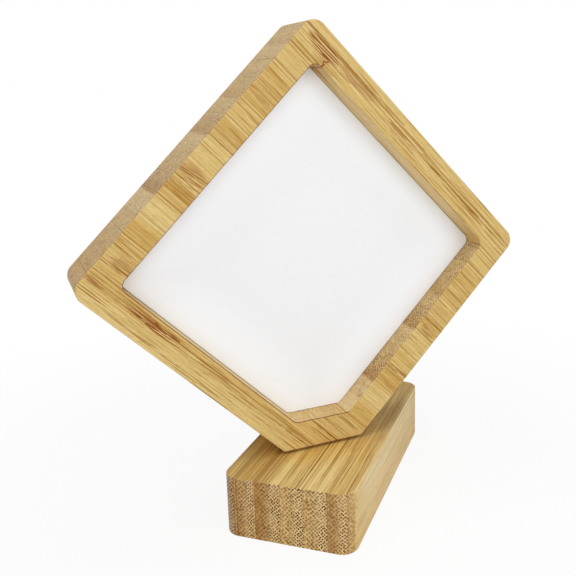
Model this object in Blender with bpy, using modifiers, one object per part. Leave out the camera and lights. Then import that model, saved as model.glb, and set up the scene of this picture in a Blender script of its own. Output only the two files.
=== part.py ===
"""Double-sided bamboo photo frame on a swivel base.

A square board of laminated bamboo stands on its cut-off corner. It has a recess on each side of a thin
ledge, and each recess holds a white photo insert. A bolt from below joins the board to a bamboo base
and turns with it. Metres, +Z up, with the origin on the table under the middle of the whole object.
The board faces -Y, and the base lies turned under it.
"""
import math

import bmesh
import bpy
from mathutils import Matrix, Vector

# Bamboo frame
FRAME_SIDE = 0.100
FRAME_THICKNESS = 0.0204
FRAME_BORDER = 0.0090
FRAME_CORNER_RADIUS = 0.0040
FOOT_WIDTH = 0.0256
FOOT_WALL = 0.0090
FOOT_CORNER_RADIUS = 0.0012
WINDOW_CORNER_RADIUS = 0.0025
EDGE_EASING = 0.0003

# Ledge between the two recesses, and the magnets let into it
LEDGE_THICKNESS = 0.0016
LEDGE_WIDTH = 0.0080
LEDGE_ROOT = 0.0010
MAGNET_RADIUS = 0.0030

# Photo inserts, and the steel discs let into their backs
INSERT_THICKNESS = 0.0015
INSERT_EDGE_GAP = 0.00025
INSERT_SEAT_GAP = 0.0003
INSERT_EASING = 0.0001
DISC_THICKNESS = 0.0005

# Base block, its turn under the frame, and its middle's place from the swivel axis before that turn
BASE_WIDTH = 0.0400
BASE_LENGTH = 0.0840
BASE_HEIGHT = 0.0185
BASE_CORNER_RADIUS = 0.0048
BASE_TURN = math.radians(-43.0)
BASE_MIDDLE_ACROSS = 0.0043
BASE_MIDDLE_ALONG = 0.0083

# Bolt, head down in the base
BOLT_RADIUS = 0.0020
BOLT_HEAD_RADIUS = 0.0038
BOLT_HEAD_HEIGHT = 0.0024
BOLT_HEAD_LEVEL = 0.0025
BOLT_HEAD_ROUNDING = 0.0008
BOLT_SOCKET_RADIUS = 0.0014
BOLT_SOCKET_DEPTH = 0.0013
BOLT_SOCKET_SIDES = 6
BOLT_TIP_CHAMFER = 0.0004

# Rings round the bolt, from the head upwards
SPRING_RADIUS = 0.0040
SPRING_THICKNESS = 0.0004
SPRING_RISE = 0.0005
WASHER_RADIUS = 0.0045
WASHER_THICKNESS = 0.0008
BUSH_WALL = 0.0010
SLIP_WASHER_THICKNESS = 0.0003
SLIP_WASHER_INSET = 0.0022

# Threaded insert in the foot of the frame
THREADED_INSERT_WALL = 0.0008
THREADED_INSERT_RIBS = 3
THREADED_INSERT_GROOVE = 0.0003
FOOT_HOLE_ROOF = 0.0015

# Clearances
RUNNING_GAP = 0.0002
STACK_GAP = 0.00015
GLUE_GAP = 0.00015
END_GAP = 0.0005
COUNTERBORE_GAP = 0.0010

# Fineness of round shapes
ARC_STEP = math.radians(15)
TURNED_STEPS = 32
DISC_STEPS = 24
MERGE_DISTANCE = 0.000001
SMOOTH_ANGLE = math.radians(30)

# What follows from the sizes above: the frame
HALF_DIAGONAL = FRAME_SIDE / math.sqrt(2)
FRAME_MIDDLE = HALF_DIAGONAL - FOOT_WIDTH / 2
INSERT_REACH = LEDGE_THICKNESS / 2 + INSERT_SEAT_GAP + INSERT_THICKNESS / 2
DISC_REACH = LEDGE_THICKNESS / 2 + INSERT_SEAT_GAP + DISC_THICKNESS / 2
SLIP_GAP = SLIP_WASHER_THICKNESS + 2 * STACK_GAP
FOOT_LEVEL = BASE_HEIGHT + SLIP_GAP
SLIP_WASHER_RADIUS = FRAME_THICKNESS / 2 - SLIP_WASHER_INSET

# What follows: the levels of the stack in the base, and the round pieces' radii
SPRING_LEVEL = BOLT_HEAD_LEVEL + BOLT_HEAD_HEIGHT + STACK_GAP
WASHER_LEVEL = SPRING_LEVEL + SPRING_THICKNESS + SPRING_RISE + STACK_GAP
COUNTERBORE_DEPTH = WASHER_LEVEL + WASHER_THICKNESS + STACK_GAP
COUNTERBORE_RADIUS = WASHER_RADIUS + COUNTERBORE_GAP
BORE_RADIUS = BOLT_RADIUS + RUNNING_GAP
RING_BORE_RADIUS = BORE_RADIUS + RUNNING_GAP
BUSH_RADIUS = BORE_RADIUS + BUSH_WALL
THREADED_INSERT_RADIUS = BORE_RADIUS + THREADED_INSERT_WALL
FOOT_HOLE_DEPTH = FOOT_WALL - FOOT_HOLE_ROOF
THREADED_INSERT_LENGTH = FOOT_HOLE_DEPTH - 2 * END_GAP
BOLT_TIP_LEVEL = FOOT_LEVEL + FOOT_HOLE_DEPTH - 2 * END_GAP

# What follows: places on the table
MIDDLE_FROM_SWIVEL = Matrix.Rotation(BASE_TURN, 3, "Z") @ Vector((BASE_MIDDLE_ACROSS, BASE_MIDDLE_ALONG, 0))
SWIVEL_PLACE = Vector((0, -MIDDLE_FROM_SWIVEL.y, 0))
BASE_PLACE = SWIVEL_PLACE + MIDDLE_FROM_SWIVEL
SWIVEL_IN_BASE = Vector((-BASE_MIDDLE_ACROSS, -BASE_MIDDLE_ALONG, 0))
UPRIGHT = (math.pi / 2, 0, 0)


def clear_scene():
    """Remove what the file holds, so that the script can be run again."""
    for kind in (bpy.data.objects, bpy.data.meshes, bpy.data.curves, bpy.data.materials, bpy.data.collections):
        for old in list(kind):
            kind.remove(old)


def collection(name):
    """Return a new collection of this name in the scene."""
    group = bpy.data.collections.new(name)
    bpy.context.scene.collection.children.link(group)
    return group


def principled(name, colour, roughness, metallic=0.0):
    """Return a plain material with a Principled shader; the colour is linear."""
    material = bpy.data.materials.new(name)
    material.use_nodes = True
    shader = material.node_tree.nodes["Principled BSDF"]
    shader.inputs["Base Color"].default_value = (*colour, 1)
    shader.inputs["Roughness"].default_value = roughness
    shader.inputs["Metallic"].default_value = metallic
    return material


def rounded_outline(corners):
    """Return the points of a closed outline from (x, y, radius) corners, in order round it."""
    points = []
    for index, (x, y, radius) in enumerate(corners):
        corner = Vector((x, y))
        before = (Vector(corners[index - 1][:2]) - corner).normalized()
        after = (Vector(corners[(index + 1) % len(corners)][:2]) - corner).normalized()
        opening = before.angle(after)
        centre = corner + (before + after).normalized() * radius / math.sin(opening / 2)
        sweep = math.pi - opening
        steps = max(2, round(sweep / ARC_STEP))
        tangent = radius / math.tan(opening / 2)
        start = corner + before * tangent - centre
        end = corner + after * tangent - centre
        side = math.copysign(1, start.x * end.y - start.y * end.x)
        for step in range(steps + 1):
            turn = Matrix.Rotation(side * sweep * step / steps, 2)
            points.append(centre + turn @ start)
    return points


def frame_outline(inset, floor, corner_radius, foot_radius):
    """Return the square on its cut corner, in by `inset` from the board's edge, its flat at height `floor`."""
    half = HALF_DIAGONAL - inset * math.sqrt(2)
    flat = half - (FRAME_MIDDLE - floor)
    return rounded_outline([
        (-flat, floor, foot_radius),
        (-half, FRAME_MIDDLE, corner_radius),
        (0, FRAME_MIDDLE + half, corner_radius),
        (half, FRAME_MIDDLE, corner_radius),
        (flat, floor, foot_radius),
    ])


def window_outline(inset):
    """Return the window's outline, in by `inset` from its wall."""
    return frame_outline(FRAME_BORDER + inset, FOOT_WALL + inset, WINDOW_CORNER_RADIUS, WINDOW_CORNER_RADIUS)


def base_outline():
    """Return the base's rectangle with its rounded corners."""
    half_width = BASE_WIDTH / 2
    half_length = BASE_LENGTH / 2
    signs = ((-1, -1), (1, -1), (1, 1), (-1, 1))
    return rounded_outline([(sx * half_width, sy * half_length, BASE_CORNER_RADIUS) for sx, sy in signs])


def magnet_places():
    """Return the middle of each long side of the ledge by its name, as points in the board's plane."""
    middle_of_ledge = LEDGE_WIDTH / 2
    half = HALF_DIAGONAL - (FRAME_BORDER + middle_of_ledge) * math.sqrt(2)
    floor = FOOT_WALL + middle_of_ledge
    flat = half - (FRAME_MIDDLE - floor)
    upper = (half / 2, FRAME_MIDDLE + half / 2)
    lower = ((half + flat) / 2, (FRAME_MIDDLE + floor) / 2)
    places = {}
    for height, (x, y) in (("upper", upper), ("lower", lower)):
        places[height + "_left"] = (-x, y)
        places[height + "_right"] = (x, y)
    return places


def plain_mesh(source, name):
    """Return the evaluated shape of an object as one welded mesh."""
    bpy.context.view_layer.update()
    graph = bpy.context.evaluated_depsgraph_get()
    mesh = bpy.data.meshes.new_from_object(source.evaluated_get(graph))
    mesh.name = name
    welded = bmesh.new()
    welded.from_mesh(mesh)
    bmesh.ops.remove_doubles(welded, verts=welded.verts, dist=MERGE_DISTANCE)
    welded.to_mesh(mesh)
    welded.free()
    return mesh


def board(name, group, outlines, thickness, easing=0.0):
    """Return a flat board: the first outline is its edge, and any others are openings.

    It is centred on its own XY plane, and `easing` is the width of its broken edges.
    """
    curve = bpy.data.curves.new(name, "CURVE")
    curve.dimensions = "2D"
    curve.fill_mode = "BOTH"
    curve.extrude = thickness / 2 - easing
    curve.bevel_depth = easing
    curve.bevel_resolution = 0
    curve.offset = -easing
    for points in outlines:
        spline = curve.splines.new("POLY")
        spline.points.add(len(points) - 1)
        for target, point in zip(spline.points, points):
            target.co = (point.x, point.y, 0, 1)
        spline.use_cyclic_u = True
    drawn = bpy.data.objects.new(name + "_outline", curve)
    group.objects.link(drawn)
    piece = bpy.data.objects.new(name, plain_mesh(drawn, name))
    group.objects.link(piece)
    piece.matrix_world = drawn.matrix_world
    bpy.data.objects.remove(drawn)
    return piece


def cylinder(name, group, radius, depth, steps=TURNED_STEPS):
    """Return a cylinder along Z, centred on its own origin."""
    mesh = bpy.data.meshes.new(name)
    built = bmesh.new()
    bmesh.ops.create_cone(built, cap_ends=True, segments=steps, radius1=radius, radius2=radius, depth=depth)
    built.to_mesh(mesh)
    built.free()
    piece = bpy.data.objects.new(name, mesh)
    group.objects.link(piece)
    return piece


def turned(name, group, profile, is_ring):
    """Return a piece turned about Z from (radius, height) points that run down its outer side."""
    mesh = bpy.data.meshes.new(name)
    edges = [(index, index + 1) for index in range(len(profile) - 1)]
    if is_ring:
        edges.append((len(profile) - 1, 0))
    mesh.from_pydata([(radius, 0, height) for radius, height in profile], edges, [])
    piece = bpy.data.objects.new(name, mesh)
    group.objects.link(piece)
    turn = piece.modifiers.new("Turn", "SCREW")
    turn.axis = "Z"
    turn.angle = 2 * math.pi
    turn.steps = TURNED_STEPS
    turn.render_steps = TURNED_STEPS
    turn.use_merge_vertices = True
    turn.merge_threshold = MERGE_DISTANCE
    return piece


def ring_profile(outer, bore, height, floor=0.0):
    """Return the closed profile of a plain ring that stands on `floor`."""
    top = floor + height
    return [(outer, top), (outer, floor), (bore, floor), (bore, top)]


def combine(piece, other, operation):
    """Cut `other` from the piece, or join it on."""
    modifier = piece.modifiers.new(other.name, "BOOLEAN")
    modifier.operation = operation
    modifier.solver = "EXACT"
    modifier.object = other


def place(piece, parent, location, rotation=(0, 0, 0)):
    """Put a piece on its parent."""
    piece.parent = parent
    piece.location = location
    piece.rotation_euler = rotation


def finish(piece, material):
    """Turn a piece's modifiers into plain mesh, shade it and give it its material."""
    mesh = plain_mesh(piece, piece.name)
    piece.modifiers.clear()
    piece.data = mesh
    mesh.materials.clear()
    mesh.materials.append(material)
    mesh.shade_smooth()
    mesh.set_sharp_from_angle(angle=SMOOTH_ANGLE)


def empty(name, group, location, turn=0.0):
    """Return an empty that pieces are placed on."""
    marker = bpy.data.objects.new(name, None)
    group.objects.link(marker)
    marker.location = location
    marker.rotation_euler = (0, 0, turn)
    return marker


def make_frame(parts, cutters, axis, bamboo):
    """Make the board with its window, ledge, magnet holes and the hole in its foot."""
    edge = frame_outline(0, 0, FRAME_CORNER_RADIUS, FOOT_CORNER_RADIUS)
    frame = board("bamboo_frame", parts, [edge, window_outline(0)], FRAME_THICKNESS, EDGE_EASING)
    place(frame, axis, (0, 0, FOOT_LEVEL), UPRIGHT)

    ledge_outlines = [window_outline(-LEDGE_ROOT), window_outline(LEDGE_WIDTH)]
    ledge = board("ledge", cutters, ledge_outlines, LEDGE_THICKNESS)
    place(ledge, axis, (0, 0, FOOT_LEVEL), UPRIGHT)
    combine(frame, ledge, "UNION")

    cut_at_magnets(frame, cutters, axis, 0, LEDGE_THICKNESS)

    hole = cylinder("foot_hole", cutters, THREADED_INSERT_RADIUS + RUNNING_GAP, 2 * FOOT_HOLE_DEPTH)
    place(hole, axis, (0, 0, FOOT_LEVEL))
    combine(frame, hole, "DIFFERENCE")
    finish(frame, bamboo)


def cut_at_magnets(piece, cutters, axis, reach, half_depth):
    """Cut a round hole at each magnet, `half_depth` either way from `reach` behind the board's middle."""
    for corner, (x, z) in magnet_places().items():
        hole = cylinder(f"{piece.name}_hole_{corner}", cutters, MAGNET_RADIUS + GLUE_GAP, 2 * half_depth)
        place(hole, axis, (x, reach, FOOT_LEVEL + z), UPRIGHT)
        combine(piece, hole, "DIFFERENCE")


def make_discs(name, parts, axis, reach, thickness, material):
    """Make a thin disc at each magnet's place, `reach` behind the board's middle."""
    for corner, (x, z) in magnet_places().items():
        disc = cylinder(f"{name}_{corner}", parts, MAGNET_RADIUS, thickness, DISC_STEPS)
        place(disc, axis, (x, reach, FOOT_LEVEL + z), UPRIGHT)
        finish(disc, material)


def make_insert(name, parts, cutters, axis, side, white, steel):
    """Make one photo insert and its steel discs; `side` is -1 for the front and 1 for the rear."""
    insert = board(name, parts, [window_outline(INSERT_EDGE_GAP)], INSERT_THICKNESS, INSERT_EASING)
    place(insert, axis, (0, side * INSERT_REACH, FOOT_LEVEL), UPRIGHT)
    back = INSERT_REACH - INSERT_THICKNESS / 2
    cut_at_magnets(insert, cutters, axis, side * back, DISC_THICKNESS + GLUE_GAP)
    finish(insert, white)
    make_discs(name.replace("insert", "disc"), parts, axis, side * DISC_REACH, DISC_THICKNESS, steel)


def make_base(parts, cutters, middle, bamboo):
    """Make the base block with its bore and the counterbore underneath."""
    base = board("base_block", parts, [base_outline()], BASE_HEIGHT, EDGE_EASING)
    place(base, middle, (0, 0, BASE_HEIGHT / 2))

    bore = cylinder("bush_bore", cutters, BUSH_RADIUS + RUNNING_GAP, 2 * BASE_HEIGHT)
    place(bore, middle, SWIVEL_IN_BASE + Vector((0, 0, BASE_HEIGHT)))
    combine(base, bore, "DIFFERENCE")

    counterbore = cylinder("counterbore", cutters, COUNTERBORE_RADIUS, 2 * COUNTERBORE_DEPTH)
    place(counterbore, middle, SWIVEL_IN_BASE)
    combine(base, counterbore, "DIFFERENCE")
    finish(base, bamboo)


def make_bolt(parts, cutters, axis, steel):
    """Make the bolt, which turns with the frame, with the hex socket in its head."""
    head_top = BOLT_HEAD_LEVEL + BOLT_HEAD_HEIGHT
    head_round = BOLT_HEAD_LEVEL + BOLT_HEAD_ROUNDING
    profile = [
        (0, BOLT_TIP_LEVEL),
        (BOLT_RADIUS - BOLT_TIP_CHAMFER, BOLT_TIP_LEVEL),
        (BOLT_RADIUS, BOLT_TIP_LEVEL - BOLT_TIP_CHAMFER),
        (BOLT_RADIUS, head_top),
        (BOLT_HEAD_RADIUS, head_top),
        (BOLT_HEAD_RADIUS, head_round),
        (BOLT_HEAD_RADIUS - BOLT_HEAD_ROUNDING, BOLT_HEAD_LEVEL),
        (0, BOLT_HEAD_LEVEL),
    ]
    bolt = turned("pivot_bolt", parts, profile, is_ring=False)
    place(bolt, axis, (0, 0, 0))
    socket = cylinder("bolt_socket", cutters, BOLT_SOCKET_RADIUS, 2 * BOLT_SOCKET_DEPTH, BOLT_SOCKET_SIDES)
    place(socket, axis, (0, 0, BOLT_HEAD_LEVEL))
    combine(bolt, socket, "DIFFERENCE")
    finish(bolt, steel)


def make_threaded_insert(parts, axis, brass):
    """Make the ribbed insert that holds the bolt in the foot of the frame."""
    floor = FOOT_LEVEL + END_GAP
    top = floor + THREADED_INSERT_LENGTH
    band = THREADED_INSERT_LENGTH / (2 * THREADED_INSERT_RIBS - 1)
    waist = THREADED_INSERT_RADIUS - THREADED_INSERT_GROOVE
    profile = []
    for rib in range(THREADED_INSERT_RIBS):
        rib_top = top - 2 * rib * band
        profile += [(THREADED_INSERT_RADIUS, rib_top), (THREADED_INSERT_RADIUS, rib_top - band)]
        if rib < THREADED_INSERT_RIBS - 1:
            profile += [(waist, rib_top - band), (waist, rib_top - 2 * band)]
    profile += [(BORE_RADIUS, floor), (BORE_RADIUS, top)]
    insert = turned("threaded_insert", parts, profile, is_ring=True)
    place(insert, axis, (0, 0, 0))
    finish(insert, brass)


def make_rings(parts, middle, brass, steel, nylon):
    """Make what stays in the base round the bolt: spring, washer, bush and slip washer."""
    spring_top = SPRING_LEVEL + SPRING_RISE
    spring_profile = [
        (SPRING_RADIUS, SPRING_LEVEL + SPRING_THICKNESS),
        (SPRING_RADIUS, SPRING_LEVEL),
        (RING_BORE_RADIUS, spring_top),
        (RING_BORE_RADIUS, spring_top + SPRING_THICKNESS),
    ]
    bush_floor = COUNTERBORE_DEPTH + STACK_GAP
    bush_height = BASE_HEIGHT - STACK_GAP - bush_floor
    rings = (
        ("disc_spring", spring_profile, steel),
        ("bolt_washer", ring_profile(WASHER_RADIUS, RING_BORE_RADIUS, WASHER_THICKNESS, WASHER_LEVEL), steel),
        ("pivot_bush", ring_profile(BUSH_RADIUS, BORE_RADIUS, bush_height, bush_floor), brass),
        ("slip_washer", ring_profile(SLIP_WASHER_RADIUS, RING_BORE_RADIUS, SLIP_WASHER_THICKNESS,
                                     BASE_HEIGHT + STACK_GAP), nylon),
    )
    for name, profile, material in rings:
        ring = turned(name, parts, profile, is_ring=True)
        place(ring, middle, SWIVEL_IN_BASE)
        finish(ring, material)


def make_photo_frame():
    """Build the whole object."""
    clear_scene()
    parts = collection("double_sided_photo_frame")
    cutters = collection("cutters")

    bamboo = principled("bamboo", (0.63, 0.42, 0.16), 0.48)
    white = principled("coated_white", (0.83, 0.83, 0.83), 0.35)
    steel = principled("zinc_steel", (0.55, 0.55, 0.56), 0.35, 1.0)
    nickel = principled("nickel", (0.66, 0.64, 0.60), 0.25, 1.0)
    brass = principled("brass", (0.62, 0.42, 0.16), 0.30, 1.0)
    nylon = principled("black_nylon", (0.02, 0.018, 0.016), 0.55)

    swivel_axis = empty("swivel_axis", parts, SWIVEL_PLACE)
    base_middle = empty("base_middle", parts, BASE_PLACE, BASE_TURN)

    make_frame(parts, cutters, swivel_axis, bamboo)
    make_discs("ledge_magnet", parts, swivel_axis, 0, LEDGE_THICKNESS, nickel)
    make_insert("front_insert", parts, cutters, swivel_axis, -1, white, steel)
    make_insert("rear_insert", parts, cutters, swivel_axis, 1, white, steel)
    make_bolt(parts, cutters, swivel_axis, steel)
    make_threaded_insert(parts, swivel_axis, brass)
    make_base(parts, cutters, base_middle, bamboo)
    make_rings(parts, base_middle, brass, steel, nylon)

    for cutter in cutters.objects:
        cutter.hide_render = True
        cutter.display_type = "WIRE"


make_photo_frame()
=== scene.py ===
"""Looks of the double-sided bamboo photo frame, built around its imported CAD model.

Every piece is made in metres in the model's own frame, and rides on one of its bodies: the base, the
frame that swivels on it, and the two photo inserts that lift out of the frame.
"""
import logging
import math
from collections.abc import Sequence
from dataclasses import dataclass
from enum import Enum

import bmesh
import bpy
from mathutils import Matrix, Vector


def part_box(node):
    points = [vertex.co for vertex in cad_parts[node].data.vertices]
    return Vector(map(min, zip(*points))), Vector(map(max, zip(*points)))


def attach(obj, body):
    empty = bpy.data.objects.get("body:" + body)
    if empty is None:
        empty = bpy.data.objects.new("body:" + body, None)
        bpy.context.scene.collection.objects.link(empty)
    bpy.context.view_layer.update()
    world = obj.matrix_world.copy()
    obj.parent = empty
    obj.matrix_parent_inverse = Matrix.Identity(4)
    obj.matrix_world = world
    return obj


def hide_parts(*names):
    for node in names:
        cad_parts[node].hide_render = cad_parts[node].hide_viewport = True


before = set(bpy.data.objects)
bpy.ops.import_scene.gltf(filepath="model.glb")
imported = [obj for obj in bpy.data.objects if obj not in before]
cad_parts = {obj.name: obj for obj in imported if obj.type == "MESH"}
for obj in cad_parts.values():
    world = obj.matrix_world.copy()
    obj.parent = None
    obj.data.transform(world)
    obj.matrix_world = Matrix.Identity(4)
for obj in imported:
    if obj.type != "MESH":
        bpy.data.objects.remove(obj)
LOG = logging.getLogger("photo_frame")

Point = tuple[float, float]
Colour = tuple[float, float, float]
Screen = tuple[int, int, int]

MILLIMETRE = 0.001
SLANT = math.sqrt(0.5)
WELD = 1e-6


class Body(Enum):
    """The CAD bodies that pieces ride on."""

    BASE = "base"
    FRAME = "frame"
    FRONT_INSERT = "front_insert"
    REAR_INSERT = "rear_insert"


class Slot(Enum):
    """The record's material slots, which the scene's own pieces are handed but don't use."""

    BAMBOO = "bamboo"
    COATED_WHITE = "coated_white"
    ZINC_STEEL = "zinc_steel"
    NICKEL = "nickel"


class Tone(Enum):
    """How dark a strip of bamboo is on its long grain, as a screen colour."""

    CREAM = (228, 206, 142)
    PALE = (221, 197, 135)
    STRAW = (214, 186, 120)
    HONEY = (210, 178, 109)
    GOLD = (205, 170, 97)
    AMBER = (196, 158, 84)
    RUSSET = (168, 115, 38)


class EndTone(Enum):
    """How dark a strip of bamboo is on its end grain, as a screen colour."""

    CREAM = (220, 194, 144)
    SAND = (213, 185, 130)
    STRAW = (224, 190, 126)
    TAN = (205, 172, 114)
    UMBER = (195, 157, 99)
    BARK = (186, 142, 80)
    DUSK = (166, 136, 106)
    CHAR = (146, 104, 68)


class Shade(Enum):
    """What each marking, and each painted shade in the corners and under the frame, multiplies the wood's
    linear colour by.
    """

    BROAD = (0.90, 0.80, 0.60)
    RIBBON = (0.88, 0.79, 0.62)
    THREAD = (0.78, 0.65, 0.41)
    HAIR = (0.87, 0.79, 0.63)
    # painted shade towards the ends of the side faces, in the corners
    OUTMOST = (0.97, 0.92, 0.82)
    GRIT = (0.86, 0.80, 0.70)
    MOTTLE = (0.80, 0.73, 0.62)
    CRUMB = (0.74, 0.66, 0.56)
    # painted shade: the frame's warm shadow on the base's top
    POLISH = (1.0, 0.90, 0.68)


def linear(screen: Screen) -> Colour:
    """Return a screen colour, from 0 to 255, as the linear one that shaders take."""
    parts = [part / 255 for part in screen]
    return tuple(part / 12.92 if part <= 0.04045 else ((part + 0.055) / 1.055) ** 2.4 for part in parts)


class Term:
    """A value in a node tree, which operators and short methods join to others."""

    def __init__(self, nodes: "Nodes", socket: bpy.types.NodeSocket) -> None:
        """Keep the tree's nodes and the socket that gives the value."""
        self.nodes, self.socket = nodes, socket

    def __add__(self, other: object) -> "Term":
        """Return the sum."""
        return self.nodes.calc("ADD", self, other)

    def __sub__(self, other: object) -> "Term":
        """Return the difference."""
        return self.nodes.calc("SUBTRACT", self, other)

    def __rsub__(self, other: float) -> "Term":
        """Return a number's difference from this."""
        return self.nodes.calc("SUBTRACT", other, self)

    def __mul__(self, other: object) -> "Term":
        """Return the product."""
        return self.nodes.calc("MULTIPLY", self, other)

    def __truediv__(self, other: object) -> "Term":
        """Return the quotient."""
        return self.nodes.calc("DIVIDE", self, other)

    def __mod__(self, other: object) -> "Term":
        """Return what a division leaves."""
        return self.nodes.calc("MODULO", self, other)

    def __abs__(self) -> "Term":
        """Return the value without its sign."""
        return self.nodes.calc("ABSOLUTE", self)

    def most(self, other: object) -> "Term":
        """Return the larger of two values."""
        return self.nodes.calc("MAXIMUM", self, other)

    def squared(self) -> "Term":
        """Return the value times itself."""
        return self.nodes.calc("POWER", self, 2.0)

    def ease(self, low: float, high: float, start: object = 0.0, end: object = 1.0,
             kind: str = "SMOOTHSTEP") -> "Term":
        """Return `start` where this is `low`, `end` where it is `high`, and a passage between them."""
        return self.nodes.add("ShaderNodeMapRange", self, low, high, start, end, interpolation_type=kind)

    def stretch(self, *scales: float) -> "Term":
        """Return a vector with each of its parts times a scale."""
        return self.nodes.add("ShaderNodeVectorMath", self, scales, operation="MULTIPLY")

    def parts(self) -> list["Term"]:
        """Return a vector's or a colour's three parts."""
        return [Term(self.nodes, part) for part in self.nodes.node("ShaderNodeSeparateXYZ", self).outputs]

    def shade(self, share: object, shade: Shade) -> "Term":
        """Return this colour under a share of a marking or of a painted shade."""
        return self.nodes.mix(share, self, shade.value, "MULTIPLY")

    def tint(self, share: object, screen: Screen) -> "Term":
        """Return this colour with a share of a screen colour."""
        return self.nodes.mix(share, self, linear(screen))


class Nodes:
    """A node tree, with short ways to add nodes and join them."""

    def __init__(self, tree: bpy.types.NodeTree) -> None:
        """Keep the tree."""
        self.tree = tree

    def feed(self, socket: bpy.types.NodeSocket, value: object) -> None:
        """Link a socket to a term, or set it to a number, colour or vector.

        Args:
            socket: The input.
            value: What it gets. None leaves it alone.
        """
        if isinstance(value, Term):
            self.tree.links.new(value.socket, socket)
        elif isinstance(value, tuple) and socket.type == "RGBA":
            socket.default_value = (*value, 1)
        elif value is not None:
            socket.default_value = value

    def node(self, kind: str, *inputs: object, **named: object) -> bpy.types.Node:
        """Add a node.

        Args:
            kind: The node's type.
            *inputs: What its inputs get, in order.
            **named: Its properties and, with a capital and with underscores for spaces, its other inputs.

        Returns:
            The new node.
        """
        made = self.tree.nodes.new(kind)
        for name, value in named.items():
            if name[0].islower():
                setattr(made, name, value)
        for socket, value in zip(made.inputs, inputs):
            self.feed(socket, value)
        for name, value in named.items():
            if name[0].isupper():
                self.feed(made.inputs[name.replace("_", " ")], value)
        return made

    def add(self, kind: str, *inputs: object, out: int | str = 0, **named: object) -> Term:
        """Add a node as `node` does, and return one of its outputs."""
        return Term(self, self.node(kind, *inputs, **named).outputs[out])

    def calc(self, operation: str, *values: object, clamp: bool = False) -> Term:
        """Return the result of a sum on terms or numbers."""
        return self.add("ShaderNodeMath", *values, operation=operation, use_clamp=clamp)

    def vector(self, *values: object) -> Term:
        """Return a vector joined from three terms or numbers."""
        return self.add("ShaderNodeCombineXYZ", *values)

    def mix(self, share: object, first: object, second: object, blend: str = "MIX") -> Term:
        """Return the first colour, with a share of the second one."""
        return self.add("ShaderNodeMix", share, *[None] * 5, first, second, out=2, data_type="RGBA",
                        blend_type=blend)

    def seen(self) -> Term:
        """Return 1 where the camera looks straight or by a reflection, and 0 for all other light."""
        return self.calc("MAXIMUM", *(self.add("ShaderNodeLightPath", out=f"Is {ray} Ray")
                                      for ray in ("Camera", "Glossy")))


class Shader(Nodes):
    """The nodes of one material."""

    def __init__(self, name: str) -> None:
        """Start a material with a Principled shader.

        Args:
            name: The material's name.
        """
        self.material = bpy.data.materials.new(name)
        self.material.use_nodes = True
        super().__init__(self.material.node_tree)

    def noise(self, vector: Term, detail: float = 2.0, roughness: float = 0.5, scale: float = 1.0) -> Term:
        """Return a noise from 0 to 1, read at a vector in units of its grain."""
        return self.add("ShaderNodeTexNoise", Vector=vector, Scale=scale, Detail=detail, Roughness=roughness)

    def cells(self, out: str, vector: Term, randomness: float = 1.0, dimensions: str = "3D") -> Term:
        """Return the Color or the Distance of scattered cells of about unit size."""
        return self.add("ShaderNodeTexVoronoi", out=out, Vector=vector, Scale=1.0, Randomness=randomness,
                        voronoi_dimensions=dimensions, feature="F1")

    def ramp(self, value: Term, stops: Sequence[tuple[float, Colour]], kind: str = "LINEAR") -> Term:
        """Return the colour of a colour ramp.

        Args:
            value: Where the ramp is read, from 0 to 1.
            stops: Places and colours, in order.
            kind: The interpolation, such as LINEAR or CONSTANT.

        Returns:
            The colour.
        """
        made = self.node("ShaderNodeValToRGB", value)
        made.color_ramp.interpolation = kind
        elements = made.color_ramp.elements
        elements[0].position, elements[1].position = stops[0][0], stops[-1][0]
        elements[0].color, elements[1].color = (*stops[0][1], 1), (*stops[-1][1], 1)
        for place, colour in stops[1:-1]:
            elements.new(place).color = (*colour, 1)
        return Term(self, made.outputs[0])

    def position(self, centre: Vector, turn: Matrix = Matrix.Identity(3)) -> Term:
        """Return the object's coordinates in millimetres.

        Args:
            centre: The origin, in metres.
            turn: A rotation whose rows are the axes.

        Returns:
            The vector.
        """
        return self.add("ShaderNodeMapping", Vector=self.add("ShaderNodeTexCoord", out="Object"),
                        Scale=[1 / MILLIMETRE] * 3, Rotation=turn.to_euler(),
                        Location=-(turn @ centre) / MILLIMETRE, vector_type="POINT")

    def facing(self, direction: Vector) -> Term:
        """Return how squarely the surface faces along a direction of the object, from -1 to 1."""
        return self.add("ShaderNodeVectorMath", self.add("ShaderNodeTexCoord", out="Normal"), direction,
                        out="Value", operation="DOT_PRODUCT")

    def finish(self, height: Term, distance: float, **values: object) -> bpy.types.Material:
        """Set the Principled shader's sockets.

        Args:
            height: The relief, from 0 to 1.
            distance: How far 1 stands out, in metres.
            **values: Other sockets, with underscores for spaces.

        Returns:
            The material.
        """
        surface = self.tree.nodes["Principled BSDF"].inputs
        self.feed(surface["Normal"], self.add("ShaderNodeBump", Distance=distance, Height=height))
        for name, value in values.items():
            self.feed(surface[name.replace("_", " ")], value)
        return self.material


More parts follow.
